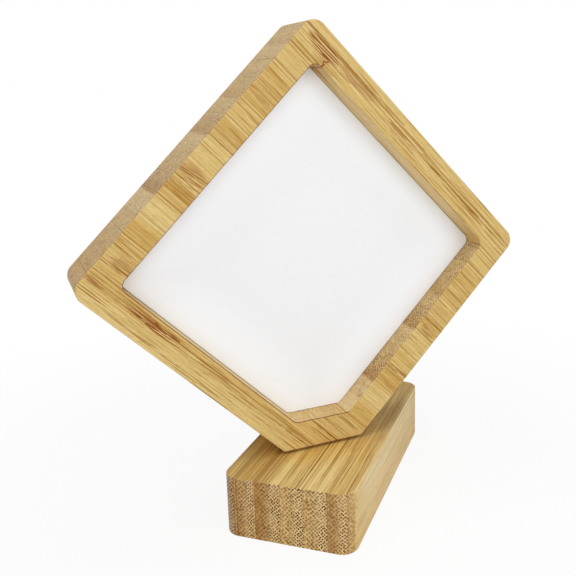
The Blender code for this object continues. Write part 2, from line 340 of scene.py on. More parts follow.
class Grain(Enum):
    """How often each noise in the wood changes along, across and through it, in each millimetre.

    Two more numbers say how many finer noises are added and how strong they are. Without them the noise is
    made of even streaks.
    """

    SWING = (0.02, 0.15, 0.15, 1.0)
    FIBRE = (0.020, 2.2, 1.6, 2.0, 0.7)
    HAIR = (0.10, 3.0, 1.8, 1.0, 0.7)
    GRIT = (0.55, 2.2, 2.0, 1.0, 0.7)
    BROAD = (0.012, 0.45, 0.35, 2.0)
    THREAD = (0.030, 2.9, 1.2)
    RIBBON = (0.014, 0.62, 0.4)
    FADE = (0.13, 1.1, 0.8, 2.0, 0.7)
    DRIFT = (0.10, 0.45, 0.4, 1.0)
    WHOLE = (0.22, 1.3, 0.8)
    FLAKE = (0.16, 2.4, 1.4)
    FLECK = (0.09, 3.0, 1.6)
    RUN = (0.03, 0.3, 0.3, 1.0)
    PATCH = (0.08, 0.36, 0.30, 2.0, 0.6)
    MOTTLE = (0.10, 0.42, 0.34, 2.0, 0.6)
    CRUMB = (0.8, 1.5, 0.7, 2.5, 0.7)
    RIPPLE = (0.0, 1.1, 1.0, 1.0)

    def read(self, place: Term) -> Term:
        """Return the noise at a place, from 0 to 1."""
        where, finer = place.stretch(*self.value[:3]), self.value[3:]
        return where.nodes.noise(where, *finer) if finer else where.nodes.cells("Color", where).parts()[0]


@dataclass(frozen=True)
class Strip:
    """One strip of laminated bamboo. Its dense, outer side is the far one.

    `start` is the place of its near edge across the stack, in millimetres. `seam`, `lines` and `dots` say
    how strongly its near glue line, its fine lines and the ends of its fibre bundles show, from 0 to 1.
    `reach` is the share of its width that its long tone takes to get from the near one to the far one, and
    `paling` how far the end grain at the strip's other end turns to cream: painted light that lifts the
    window's recessed lower right wall.
    """

    start: float
    near: Tone
    far: Tone
    end_near: EndTone
    end_far: EndTone
    seam: float
    lines: float
    dots: float
    reach: float = 1.0
    # painted light on the end grain at the strip's far end
    paling: float = 0.0


@dataclass(frozen=True)
class Knot:
    """A node of the bamboo, seen as dark dashes round a place along and across the strips, in millimetres.

    `strength` is how dark its dashes are, and `ring` how dark a wavy line across its middle is, from 0 to 1.
    `bend` is how far the lines shift as they pass it, in millimetres.
    """

    along: float
    across: float
    half_length: float
    half_width: float
    strength: float
    ring: float = 0.0
    bend: float = 0.0


@dataclass(frozen=True)
class BambooFinish:
    """Laminated bamboo, sanded and thinly coated, as one solid pattern through a whole block.

    `stop` is where the last strip ends, `window` half the width of the board's window and `foot` how far
    its foot is from its middle, and `worn` the middle of a warm painted shade on the base's top that stands
    for the frame's shadow there, as a place along and across, all in millimetres.
    """

    name: str
    grain: Vector
    stack: Vector
    centre: Vector
    strips: tuple[Strip, ...]
    stop: float
    knots: tuple[Knot, ...]
    window: float = 0.0
    foot: float = 0.0
    # middle of the painted shade of the frame's shadow on the base
    worn: Point | None = None
    end_low: float = 0.60
    end_high: float = 0.95
    end_seam: float = 0.45
    dots_near: float = 0.60
    side_share: float = 0.65
    # how much side tone is left at the side faces' ends, as painted corner shade
    side_fade: float = 0.10
    side_tone: Screen = (230, 203, 150)
    low_side_tone: Screen = (230, 203, 150)
    light_line: Screen = (234, 211, 152)
    dark_line: Screen = (149, 101, 28)
    blush: Screen = (186, 122, 48)
    scar: Screen = (134, 74, 20)
    # colour of the painted shade on eased edges that turn from the light and over the foot's gap
    rubbed: Screen = (104, 44, 12)
    bundle: Screen = (96, 46, 8)
    pith: Screen = (232, 204, 146)
    # colour of the painted light on the strips' far end grain
    pale_end: Screen = (234, 212, 164)
    coarse: float = 0.98
    fine: float = 0.78
    line_length: float = 1.0

    def material(self) -> bpy.types.Material:
        """Build the material."""
        return BambooPattern(self).material()


class BambooPattern:
    """The markings of a bamboo finish, and the places and strips that they share.

    `edge_sway` and `line_sway` are how far the strips' edges and their lines wander, `change` how wide a
    change of tone between strips is, `jump` how far apart in the noise unlike strips lie, `strip_width` a
    strip's usual width, `twin_gap` how far a strong glue line's twin is from it and `ring_wave` how far a
    knot's wavy line strays, all in millimetres. `dash_turn` is how fast the dashes come, in radians for
    each millimetre, and `dash_drift` how far they shift.
    """

    edge_sway = 0.16
    line_sway = 0.8
    change = 0.04
    jump = 37.3
    strip_width = 7
    twin_gap = 1.05
    ring_wave = 3.4
    dash_turn = 8.6
    dash_drift = 11.0

    def __init__(self, look: BambooFinish) -> None:
        """Work out which part of which strip a place in the wood is.

        Args:
            look: The finish.
        """
        self.look, self.make = look, Shader(look.name)
        self.depth = look.grain.cross(look.stack)
        self.place = self.make.position(look.centre, Matrix((look.grain, look.stack, self.depth)))
        self.along, self.across, self.deep = self.place.parts()
        self.low = look.strips[0].start
        self.length = look.stop - self.low
        swing = Grain.SWING.read(self.place) - 0.5
        self.share = (swing * self.edge_sway + self.across).ease(self.low, look.stop, kind="LINEAR")
        self.rise = self.blend([((0, 0, 0), (1, 1, 1))] * len(look.strips)).parts()[0]
        self.seams, self.lines, self.dots = self.facts("seam", "lines", "dots")
        self.knot, self.ring, bend = self.knots()
        self.bent = swing * self.line_sway + self.across + bend
        self.shift = (self.lines + self.seams) * self.jump
        self.flow = self.make.vector(self.along / look.line_length, self.bent, self.deep + self.shift)
        self.fibre = Grain.FIBRE.read(self.flow)

    def blend(self, pairs: Sequence[tuple[Colour, Colour]], early: bool = False) -> Term:
        """Return a colour that runs across each strip and jumps at its edge.

        Args:
            pairs: What each strip has at its near and its far edge.
            early: Whether the far one comes as early as the strip's reach says.

        Returns:
            The colour.
        """
        stops = []
        ends = [strip.start for strip in self.look.strips[1:]] + [self.look.stop]
        for strip, end, (near, far) in zip(self.look.strips, ends, pairs):
            stops.append((strip.start, near))
            if early and strip.reach < 1:
                stops.append((strip.start + strip.reach * (end - strip.start), far))
            stops.append((end - self.change, far))
        return self.ramp(stops)

    def ramp(self, stops: Sequence[tuple[float, Colour]], kind: str = "LINEAR") -> Term:
        """Return the colour of a ramp across the strips, with its places in millimetres."""
        shares = [((place - self.low) / self.length, colour) for place, colour in stops]
        return self.make.ramp(self.share, shares, kind)

    def facts(self, *names: str) -> list[Term]:
        """Return three of each strip's numbers."""
        return self.ramp([(strip.start, tuple(getattr(strip, name) for name in names))
                          for strip in self.look.strips], "CONSTANT").parts()

    def knots(self) -> tuple[Term | float, ...]:
        """Look for the knots near a place.

        Returns:
            How close the nearest knot and the wavy line across one are, from 0 to 1, and how far the lines
            bend there, in millimetres.
        """
        wavy = (Grain.RIPPLE.read(self.place) - 0.5) * self.ring_wave + self.along
        share = ring = bend = 0.0
        for knot in self.look.knots:
            far = ((self.along - knot.along) / knot.half_length).squared()
            wide = ((self.across - knot.across) / knot.half_width).squared()
            share = (far + wide).ease(1.0, 0.25, 0.0, knot.strength).most(share)
            if knot.ring:
                off = abs(wavy - knot.along)
                ring = (off.ease(0.45, 0.15, 0.0, knot.ring) * wide.ease(1.0, 0.6)).most(ring)
            if knot.bend:
                ends = knot.along - knot.half_length, knot.along + knot.half_length
                bend = self.along.ease(*ends, 0.0, knot.bend) * wide.ease(1.0, 0.1) + bend
        return share, ring, bend

    def glue(self) -> tuple[Term, Term]:
        """Draw the glue lines, of which a strong one has a twin beside it.

        Returns:
            How strong the dark lines are, and the light ones along them.
        """
        edge = self.make.calc("MINIMUM", self.rise, 1 - self.rise) * self.strip_width
        second = abs(self.rise * self.strip_width - self.twin_gap)
        twin = second.ease(0.26, 0.10) * self.seams.ease(0.55, 0.85) * 0.75
        seam = (edge.ease(0.30, 0.12) * self.seams).most(twin)
        halo = edge.ease(0.80, 0.50) * edge.ease(0.26, 0.42) * self.seams
        return seam * Grain.RUN.read(self.place).ease(0.30, 0.60, 0.65, 1.0), halo

    def dashes(self) -> tuple[Term, Term]:
        """Draw the dashes, their flakes and the pale gaps between them in and round the knots.

        Returns:
            How strong the dashes and the gaps are.
        """
        drift = Grain.DRIFT.read(self.flow) * self.dash_drift
        wave = self.make.calc("SINE", drift + self.bent * self.dash_turn)
        flakes = Grain.FLAKE.read(self.flow).ease(0.62, 0.70)
        whole = Grain.WHOLE.read(self.flow).ease(0.20, 0.30, 0.25, 1.0)
        dashes = wave.ease(-0.20, 0.25).most(flakes) * whole * self.knot
        return dashes.most(self.ring), wave.ease(-0.35, -0.75) * self.knot

    def long_grain(self, halo: Term) -> Term:
        """Draw the wood along its grain: its tone, its lines and its knots.

        Args:
            halo: How strong the light lines beside the glue are.

        Returns:
            The colour.
        """
        look, lines, flow, fibre = self.look, self.lines, self.flow, self.fibre
        tone = self.blend([(linear(strip.near.value), linear(strip.far.value)) for strip in look.strips],
                          early=True)
        fade = Grain.FADE.read(flow).ease(0.38, 0.56, 0.30, 1.1)
        lined = lines * fade * self.rise.ease(0.1, 0.9, 0.75, 1.1)
        dark = fibre.ease(0.585, 0.61) * lined
        light = fibre.ease(0.49, 0.53) * fibre.ease(0.57, 0.545) * lines
        thread = Grain.THREAD.read(flow)
        lift = thread.ease(0.35, 0.0) * (lines * 0.45)
        scars, gaps = self.dashes()

        tone = tone.shade(Grain.BROAD.read(flow).ease(0.40, 0.64, 0.0, 0.20), Shade.BROAD)
        tone = tone.shade(Grain.RIBBON.read(flow).ease(0.50, 1.0, 0.0, 0.18), Shade.RIBBON)
        tone = tone.shade(thread.ease(0.66, 0.88) * (lined * 0.90), Shade.THREAD)
        tone = tone.tint(lift.most(light.most(halo) * 0.60), look.light_line)
        tone = tone.shade(Grain.HAIR.read(flow).ease(0.42, 0.62, 0.0, 0.65), Shade.HAIR)
        tone = tone.tint(self.make.calc("MULTIPLY", dark, 0.95, clamp=True), look.dark_line)
        tone = tone.tint(Grain.FLECK.read(flow).ease(0.88, 0.94) * lines * 0.70, look.dark_line)
        tone = tone.tint(self.knot * 0.42, look.blush)
        tone = tone.tint(gaps * 0.60, look.light_line)
        tone = tone.tint(self.make.calc("MULTIPLY", scars, 1.15, clamp=True), look.scar)

        flat = abs(self.make.facing(look.stack)).ease(0.45, 0.78)
        away = abs(self.along)
        side = self.make.mix(self.deep.ease(-5, 4), linear(look.side_tone), linear(look.low_side_tone))
        # painted shade: the side faces turn browner and darker towards their ends, where the corners shade
        # them
        corner_shaded_share = away.ease(22, 42, look.side_share, look.side_share * look.side_fade)
        tone = self.make.mix(flat * corner_shaded_share, tone, side)
        tone = tone.shade(flat * away.ease(24, 40, 0.0, 0.8), Shade.OUTMOST)
        return tone.shade(Grain.GRIT.read(flow).ease(0.46, 0.66, 0.0, 0.50), Shade.GRIT)

    def end_grain(self) -> tuple[Term, Term]:
        """Draw the wood across its grain: its tone, and the dots of its fibre bundles.

        Returns:
            The colour, and how strong the dots are.
        """
        look, packed = self.look, self.rise.ease(0.25, 0.75)
        dots = (self.bundles(look.coarse) * self.make.calc("SUBTRACT", 0.9, packed, clamp=True)
                + self.bundles(look.fine) * packed)
        dots = dots * self.rise.ease(0.0, 0.55, look.dots_near, 1.0)
        dots = dots * Grain.PATCH.read(self.place).ease(0.36, 0.60, 0.66, 1.12)
        cut = self.blend([(linear(strip.end_near.value), linear(strip.end_far.value))
                          for strip in look.strips])
        cut = cut.shade(Grain.MOTTLE.read(self.place).ease(0.42, 0.60, 0.0, 0.60), Shade.MOTTLE)
        cut = cut.shade(Grain.CRUMB.read(self.place).ease(0.49, 0.59, 0.0, 0.85), Shade.CRUMB)
        # painted light: the end grain turns to cream towards the strips' far ends, lifting the window's shaded
        # lower right wall
        cut = cut.tint(self.facts("paling", "paling", "paling")[0] * self.along.ease(0, 30), look.pale_end)
        cut = cut.tint(packed * self.dots * 0.60, look.pith)
        return cut.tint(dots * self.dots, look.bundle), dots

    def bundles(self, spacing: float) -> Term:
        """Draw the bundles of fibres, which run along the grain and stand in slanting rows.

        Args:
            spacing: The distance between bundles, in millimetres.

        Returns:
            1 in a bundle and 0 between them.
        """
        first = (self.bent + self.deep) * (SLANT / spacing) + self.shift
        second = (self.bent - self.deep) * (SLANT / spacing)
        return self.make.cells("Distance", self.make.vector(first, second, 0.0), 0.36, "2D").ease(0.45, 0.27)

    def rim(self) -> Term:
        """Find the window's eased edges that turn down or right, and the foot's, which get painted shade:
        the window's turn away from the light, and the foot's sit over the dark gap above the base.

        Returns:
            1 on those edges and 0 elsewhere.
        """
        look, make = self.look, self.make
        turned = make.facing(look.grain).most(make.facing(look.stack)).ease(0.12, 0.35)
        eased = abs(make.facing(self.depth)).ease(0.12, 0.35)
        inside = abs(self.along).most(abs(self.across)).ease(look.window + 1.2, look.window + 0.8)
        foot = ((self.across - self.along) * SLANT + look.foot).ease(0.62, 0.30)
        return (turned * inside).most(foot) * eased

    def material(self) -> bpy.types.Material:
        """Join the markings.

        Returns:
            The material.
        """
        look, make = self.look, self.make
        seam, halo = self.glue()
        cut, dots = self.end_grain()
        upward = make.facing(self.depth).most(0.0) * 0.6
        endness = (abs(make.facing(look.grain)) - upward).ease(look.end_low, look.end_high)
        glued = make.mix(endness, linear(look.dark_line), linear(look.bundle))
        colour = make.mix(seam * endness.ease(0, 1, 0.95, self.seams * look.end_seam),
                          make.mix(endness, self.long_grain(halo), cut), glued)
        # painted shade: a warm, darker patch on the base's top round the frame's foot, for the frame's shadow
        # there
        if look.worn:
            east, north = (part - spot for part, spot in zip((self.along, self.across), look.worn))
            distance = make.calc("SQRT", east.squared() + north.squared())
            colour = colour.shade(distance.ease(26, 12), Shade.POLISH)
        if look.window:
            # painted shade on the window's edges that turn from the light, and on the foot's edges over the
            # gap
            colour = colour.tint(self.rim() * 0.88, look.rubbed)
        return make.finish(seam * -0.6 + (dots * -0.4 + self.fibre), 0.00004, Base_Color=colour,
                           Roughness=self.fibre.ease(0.3, 0.7, 0.42, 0.54), Specular_IOR_Level=0.16)


@dataclass(frozen=True)
class CoatedPanelFinish:
    """A white coating on the face and edges of thin hardboard, whose back stays bare.

    Its colour is painted a little cooler and brighter towards its edges, and again at its upper right one:
    painted light against the recess's shade and the warm light that the wood throws onto it.
    """

    name: str
    outward: Vector
    grain: Vector
    stack: Vector
    centre: Vector
    bare: tuple[Screen, Screen] = ((150, 113, 76), (118, 84, 53))
    coat: tuple[Screen, Screen] = ((240, 241, 243), (238, 239, 241))
    # painted light on the coat's edges and at its upper right
    edge: Screen = (247, 250, 255)
    right_edge: Screen = (245, 249, 254)

    def material(self) -> bpy.types.Material:
        """Build the material.

        Returns:
            The material.
        """
        make = Shader(self.name)
        place = make.position(self.centre, Matrix((self.grain, self.stack, self.grain.cross(self.stack))))
        along, across, _ = place.parts()
        felt, peel = make.noise(place, 3.0, 0.6, 2.2), make.noise(place, 2.0, 0.5, 0.8)
        bare = make.mix(felt.ease(0.35, 0.65), *map(linear, self.bare))
        coat = make.mix(peel.ease(0.3, 0.7), *map(linear, self.coat))
        # painted light: cooler and brighter towards the edges and the upper right, against the recess's shade
        # and the wood's warm bounce
        coat = coat.tint(abs(along).most(across * -1).ease(20, 41), self.edge)
        coat = coat.tint(across.ease(28, 40), self.right_edge)
        coated = make.facing(self.outward).ease(-0.75, -0.55)
        return make.finish(peel, 0.000004, Base_Color=make.mix(coated, bare, coat),
                           Roughness=coated.ease(0, 1, 0.8, 0.34), Specular_IOR_Level=0.4)


@dataclass(frozen=True)
class MetalFinish:
    """Plated or bare metal, with fine rings from the lathe round an upright axis, or else tumbled."""

    name: str
    bright: Screen
    dull: Screen
    roughness: float
    axis: Vector | None = None

    def material(self) -> bpy.types.Material:
        """Build the material.

        Returns:
            The material.
        """
        make = Shader(self.name)
        if self.axis is None:
            place = make.position(Vector())
            fine, cloud = make.noise(place, 2.0, scale=6.0), make.noise(place, 3.0, scale=0.7)
            relief = 0.000004
        else:
            place = make.position(self.axis)
            east, north, height = place.parts()
            reach = make.calc("SQRT", east.squared() + north.squared())
            fine = make.noise(make.vector(reach, height, 0.0), 2.0, scale=9.0)
            cloud, relief = make.noise(place, 3.0, scale=0.9), 0.000006
        colour = make.mix(cloud.ease(0.35, 0.65), linear(self.bright), linear(self.dull))
        return make.finish(fine, relief, Metallic=1.0, Base_Color=colour,
                           Roughness=fine.ease(0.3, 0.7, self.roughness - 0.05, self.roughness + 0.08))


@dataclass(frozen=True)
class NylonFinish:
    """Black moulded nylon with a fine matt grain."""

    name: str
    tones: tuple[Screen, Screen] = ((38, 36, 34), (46, 43, 40))

    def material(self) -> bpy.types.Material:
        """Build the material.

        Returns:
            The material.
        """
        make = Shader(self.name)
        grain = make.noise(make.position(Vector()), 3.0, scale=5.0)
        colour = make.mix(grain.ease(0.3, 0.7), *map(linear, self.tones))
        return make.finish(grain, 0.00001, Base_Color=colour, Roughness=grain.ease(0.3, 0.7, 0.50, 0.62))


class Maker:
    """Mesh work that the sub-assemblies share."""

    smooth_angle = math.radians(35)
    weld = 1e-7
    hole_steps = 48

    @staticmethod
    def link(name: str, data: bpy.types.ID) -> bpy.types.Object:
        """Put a mesh, a lamp or a camera into the scene.

        Args:
            name: The object's name.
            data: What it holds.

        Returns:
            The new object.
        """
        made = bpy.data.objects.new(name, data)
        bpy.context.scene.collection.objects.link(made)
        return made

    @classmethod
    def from_bmesh(cls, name: str, mesh: bmesh.types.BMesh) -> bpy.types.Object:
        """Turn a bmesh into an object in the scene.

        Args:
            name: The object's name.
            mesh: The bmesh, which is freed.

        Returns:
            The new object.
        """
        data = bpy.data.meshes.new(name)
        mesh.to_mesh(data)
        mesh.free()
        return cls.link(name, data)

    @classmethod
    def drill(cls, name: str, radius: float, low: float, high: float, axis: Vector,
              steps: int = 64) -> bpy.types.Object:
        """Turn an upright cylinder that cuts a bore.

        Args:
            name: The object's name.
            radius: Its radius.
            low: Where it starts.
            high: Where it ends.
            axis: A point on its axis.
            steps: How many steps go round.

        Returns:
            The new object.
        """
        mesh = bmesh.new()
        profile = ((0, high), (radius, high), (radius, low), (0, low))
        ring = [mesh.verts.new(axis + Vector((out, 0, height))) for out, height in profile]
        edges = [mesh.edges.new(pair) for pair in zip(ring, ring[1:])]
        bmesh.ops.spin(mesh, geom=ring + edges, cent=axis, axis=(0, 0, 1), angle=2 * math.pi, steps=steps,
                       use_merge=True)
        bmesh.ops.remove_doubles(mesh, verts=mesh.verts, dist=cls.weld)
        bmesh.ops.recalc_face_normals(mesh, faces=mesh.faces)
        return cls.from_bmesh(name, mesh)

    @classmethod
    def punch(cls, name: str, radius: float, half_depth: float, middle: Vector) -> bpy.types.Object:
        """Make a cylinder that cuts a hole across the board's plane.

        Args:
            name: The object's name.
            radius: Its radius.
            half_depth: How far it reaches either way from its middle.
            middle: Its middle.

        Returns:
            The new object.
        """
        mesh = bmesh.new()
        turn = Matrix.Translation(middle) @ Matrix.Rotation(math.pi / 2, 4, "X")
        bmesh.ops.create_cone(mesh, cap_ends=True, segments=cls.hole_steps, radius1=radius, radius2=radius,
                              depth=2 * half_depth, matrix=turn)
        return cls.from_bmesh(name, mesh)

    @classmethod
    def cut(cls, piece: bpy.types.Object, cutters: Sequence[bpy.types.Object]) -> None:
        """Cut other objects out of a piece, and remove them.

        Args:
            piece: The piece.
            cutters: The other objects.
        """
        for cutter in cutters:
            modifier = piece.modifiers.new(cutter.name, "BOOLEAN")
            modifier.operation, modifier.solver, modifier.object = "DIFFERENCE", "EXACT", cutter
        cls.settle(piece)
        for cutter in cutters:
            bpy.data.objects.remove(cutter)

    @staticmethod
    def settle(piece: bpy.types.Object) -> None:
        """Turn a piece's modifiers into plain mesh.

        Args:
            piece: The piece.
        """
        bpy.context.view_layer.update()
        graph = bpy.context.evaluated_depsgraph_get()
        mesh = bpy.data.meshes.new_from_object(piece.evaluated_get(graph))
        mesh.name = piece.name
        piece.modifiers.clear()
        piece.data = mesh

    @classmethod
    def dress(cls, piece: bpy.types.Object, body: Body, slot: Slot, material: bpy.types.Material,
              nodes: Sequence[str]) -> None:
        """Finish a piece: shading, material, and its place in the table.

        Args:
            piece: The piece.
            body: What it moves with.
            slot: The record's slot for its finish. Not used.
            material: Its material.
            nodes: The CAD nodes that it stands for.
        """
        piece.data.shade_smooth()
        piece.data.set_sharp_from_angle(angle=cls.smooth_angle)
        piece.modifiers.new("Normals", "WEIGHTED_NORMAL").keep_sharp = True
        cls.settle(piece)
        piece.data.materials.clear()
        piece.data.materials.append(material)
        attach(piece, body.value)
        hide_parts(*nodes)
        LOG.info("%s: %d faces, stands for %s", piece.name, len(piece.data.polygons), ", ".join(nodes))


class ModifierTree(Nodes):
    """A Geometry Nodes tree with named inputs."""

    def __init__(self, name: str, sockets: dict[str, str]) -> None:
        """Start the tree.

        Args:
            name: Its name.
            sockets: The name and kind, such as Float, of each input besides the geometry.
        """
        super().__init__(bpy.data.node_groups.new(name, "GeometryNodeTree"))
        self.tree.is_modifier = True
        face = self.tree.interface
        face.new_socket("Geometry", in_out="INPUT", socket_type="NodeSocketGeometry")
        self.inputs = {
            label: face.new_socket(label, in_out="INPUT", socket_type="NodeSocket" + kind).identifier
            for label, kind in sockets.items()}
        face.new_socket("Geometry", in_out="OUTPUT", socket_type="NodeSocketGeometry")
        self.given = {socket.name: Term(self, socket) for socket in self.node("NodeGroupInput").outputs}

    def blend(self, first: Term, second: Term, share: Term) -> Term:
        """Return the first value at share 0 and the second at 1."""
        return self.calc("MULTIPLY_ADD", second - first, share, first)

    def aim(self, operation: str, *vectors: Term) -> Term:
        """Return the result of a sum on vectors, which is a number for a dot product."""
        out = "Value" if operation == "DOT_PRODUCT" else "Vector"
        return self.add("ShaderNodeVectorMath", *vectors, out=out, operation=operation)

    def scaled(self, vector: Term, factor: Term) -> Term:
        """Return a vector times a number."""
        return self.add("ShaderNodeVectorMath", vector, Scale=factor, operation="SCALE")

    def finish(self, geometry: Term) -> None:
        """End the tree: real geometry in the given material.

        Args:
            geometry: What the tree has made.
        """
        plain = self.add("GeometryNodeRealizeInstances", geometry)
        painted = self.add("GeometryNodeSetMaterial", plain, Material=self.given["Material"])
        self.node("NodeGroupOutput", painted)

    @staticmethod
    def points(name: str, places: Sequence[Vector], facts: dict[str, Sequence[float]]) -> bpy.types.Object:
        """Make the object that a tree starts from.

        Args:
            name: Its name.
            places: Its vertices.
            facts: Numbers that each vertex carries.

        Returns:
            The object, of loose vertices.
        """
        mesh = bmesh.new()
        for place in places:
            mesh.verts.new(place)
        piece = Maker.from_bmesh(name, mesh)
        for label, values in facts.items():
            piece.data.attributes.new(label, "FLOAT", "POINT").data.foreach_set("value", values)
        return piece

    def apply(self, piece: bpy.types.Object, values: dict[str, object]) -> None:
        """Run the tree on an object, and turn the result into plain mesh with its faces outward.

        Args:
            piece: The object.
            values: What each input is set to.
        """
        modifier = piece.modifiers.new(self.tree.name, "NODES")
        modifier.node_group = self.tree
        for name, value in values.items():
            modifier[self.inputs[name]] = value
        Maker.settle(piece)
        mesh = bmesh.new()
        mesh.from_mesh(piece.data)
        bmesh.ops.recalc_face_normals(mesh, faces=mesh.faces)
        mesh.to_mesh(piece.data)
        mesh.free()


@dataclass(frozen=True)
class Ring:
    """One ring round a shell.

    `inset` is how far it lies inside its wall, and `reach` how far out of the outline's plane. `wall` is 0
    for the outer wall and 1 for the window's. An `even` ring keeps its wall's corner radius whatever its
    inset, and a `hub` ring shrinks to the middle, which closes the shell.
    """

    inset: float
    reach: float
    wall: float = 0.0
    even: float = 0.0
    hub: float = 0.0

    @classmethod
    def arc(cls, inset: float, reach: float, radius: float, start: float, end: float, steps: int = 3,
            **rest: float) -> list["Ring"]:
        """Return the rings of a rounded edge.

        Args:
            inset: The inset of the arc's middle.
            reach: The reach of the arc's middle.
            radius: Its radius.
            start: Its first angle, in degrees.
            end: Its last angle, in degrees.
            steps: How many steps it has.
            **rest: What else the rings have.

        Returns:
            The rings, in order.
        """
        angles = [math.radians(start + (end - start) * step / steps) for step in range(steps + 1)]
        return [cls(inset + radius * math.cos(angle), reach + radius * math.sin(angle), **rest)
                for angle in angles]


class RoundedShellTree(ModifierTree):
    """Geometry Nodes that carry a section round an outline and round off each of its corners."""

    corner_points = 12

    def __init__(self) -> None:
        """Build the tree."""
        super().__init__("rounded_shell", {
            "Section": "Object", "Arc Points": "Int", "Closed": "Int", "Material": "Material",
            "Corner Radius": "Float", "Foot Radius": "Float", "Window Radius": "Float", "Border": "Float"})
        self.lay_out()

    def carried(self, geometry: Term, index: Term, name: str) -> Term:
        """Return a number that a geometry's vertex carries."""
        return self.add("GeometryNodeSampleIndex", Geometry=geometry, Index=index, data_type="FLOAT",
                        Value=self.add("GeometryNodeInputNamedAttribute", data_type="FLOAT", Name=name))

    def vertex(self, geometry: Term, index: Term) -> Term:
        """Return the position of a geometry's vertex."""
        return self.add("GeometryNodeSampleIndex", Geometry=geometry, Index=index, data_type="FLOAT_VECTOR",
                        Value=self.add("GeometryNodeInputPosition"))

    def lay_out(self) -> None:
        """Lay a grid of rings by corner points, and move each of its points to its place."""
        given, calc = self.given, self.calc
        corners, steps = given["Geometry"], given["Arc Points"]
        section = self.add("GeometryNodeObjectInfo", out="Geometry", Object=given["Section"])
        rings, sides = (self.add("GeometryNodeAttributeDomainSize", Geometry=part)
                        for part in (section, corners))
        around = sides * steps
        width = around + 1
        grid = self.add("GeometryNodeMeshGrid", Vertices_Y=width, Vertices_X=rings + given["Closed"])

        index = self.add("GeometryNodeInputIndex")
        row = calc("FLOOR", index / width) % rings
        place = index % width % around
        corner = calc("FLOOR", place / steps)
        turn = place % steps / (steps - 1)
        inset, reach, wall, even, hub = (self.carried(section, row, name)
                                         for name in ("inset", "reach", "wall", "even", "hub"))
        foot = self.carried(corners, corner, "foot")
        outer = self.blend(given["Corner Radius"], given["Foot Radius"], foot)
        radius = self.blend(outer, given["Window Radius"], wall) - inset * (1 - even)
        total = calc("MULTIPLY_ADD", wall, given["Border"], inset)

        here = self.vertex(corners, corner)
        others = [self.vertex(corners, (corner + step) % sides) for step in (sides - 1, 1)]
        arms = [self.aim("NORMALIZE", self.aim("SUBTRACT", other, here)) for other in others]
        inward = self.aim("NORMALIZE", self.aim("ADD", *arms))
        cosine = self.aim("DOT_PRODUCT", *arms)
        half_sine, half_cosine = (calc("SQRT", calc("MULTIPLY_ADD", cosine, half, 0.5))
                                  for half in (-0.5, 0.5))
        centre = self.aim("ADD", here, self.scaled(inward, (total + radius) / half_sine))
        sweep = math.pi - calc("ARCCOSINE", cosine)
        parts = []
        for arm, share in zip(arms, (1 - turn, turn)):
            normal = self.aim("SUBTRACT", self.scaled(arm, half_cosine), inward)
            weight = calc("SINE", share * sweep) / (calc("SINE", sweep) * half_sine)
            parts.append(self.scaled(normal, weight * radius))
        flat = self.aim("ADD", centre, self.aim("ADD", *parts))
        moved = self.aim("ADD", self.scaled(flat, 1 - hub), self.vector(0.0, 0.0, reach))
        shell = self.add("GeometryNodeSetPosition", Geometry=grid, Position=moved)
        self.finish(self.add("GeometryNodeMergeByDistance", Geometry=shell, Distance=WELD))

    def build(self, name: str, corners: Sequence[tuple[float, float, float]], rings: Sequence[Ring],
              place: Matrix, values: dict[str, object], closed: bool = False) -> bpy.types.Object:
        """Make a shell.

        Args:
            name: The object's name.
            corners: (x, y, 1 beside the foot and otherwise 0) of each sharp corner of the outline.
            rings: The section, in order.
            place: Where the outline's plane goes.
            values: The tree's sizes, and its material.
            closed: Whether the last ring joins the first.

        Returns:
            The new object.
        """
        places = [Vector((x, y, 0)) for x, y, _ in corners]
        piece = self.points(name, places, {"foot": [foot for *_, foot in corners]})
        facts = {label: [getattr(ring, label) for ring in rings] for label in Ring.__dataclass_fields__}
        section = self.points("section", [Vector()] * len(rings), facts)
        self.apply(piece, {"Section": section, "Arc Points": self.corner_points,
                           "Closed": int(closed)} | values)
        bpy.data.objects.remove(section)
        piece.data.transform(place)
        return piece


class DiscSetTree(ModifierTree):
    """Geometry Nodes that put one chamfered disc at each vertex of a mesh, all facing across the board."""

    def __init__(self) -> None:
        """Build the tree."""
        super().__init__("disc_set", {"Radius": "Float", "Thickness": "Float", "Chamfer": "Float",
                                      "Steps": "Int", "Material": "Material"})
        self.lay_out()

    def lay_out(self) -> None:
        """Make a disc of a straight part and two chamfers, and put it at the places."""
        steps, radius, chamfer = (self.given[name] for name in ("Steps", "Radius", "Chamfer"))
        waist = self.calc("MULTIPLY_ADD", chamfer, -2, self.given["Thickness"])
        shell = self.node("GeometryNodeJoinGeometry", self.add(
            "GeometryNodeMeshCylinder", fill_type="NONE", Vertices=steps, Radius=radius, Depth=waist))
        lift = self.vector(0.0, 0.0, waist * 0.5)
        for flip in (0.0, math.pi):
            cone = self.node("GeometryNodeMeshCone", fill_type="NGON", Vertices=steps, Depth=chamfer,
                             Radius_Top=radius - chamfer, Radius_Bottom=radius)
            moved = self.add("GeometryNodeTransform", Term(self, cone.outputs[0]), Translation=lift)
            turned = self.add("GeometryNodeTransform", moved, Rotation=(flip, 0, 0))
            self.feed(shell.inputs[0], self.add("GeometryNodeDeleteGeometry", domain="FACE", Geometry=turned,
                                                Selection=Term(self, cone.outputs["Bottom"])))
        welded = self.add("GeometryNodeMergeByDistance", Geometry=Term(self, shell.outputs[0]), Distance=WELD)
        self.finish(self.add("GeometryNodeInstanceOnPoints", Points=self.given["Geometry"], Instance=welded,
                             Rotation=(math.pi / 2, 0, 0)))


@dataclass
class SwivelStack:
    """The heights and the axis that the frame, the base and the hardware between them share."""

    axis: Vector
    foot_level: float
    base_height: float


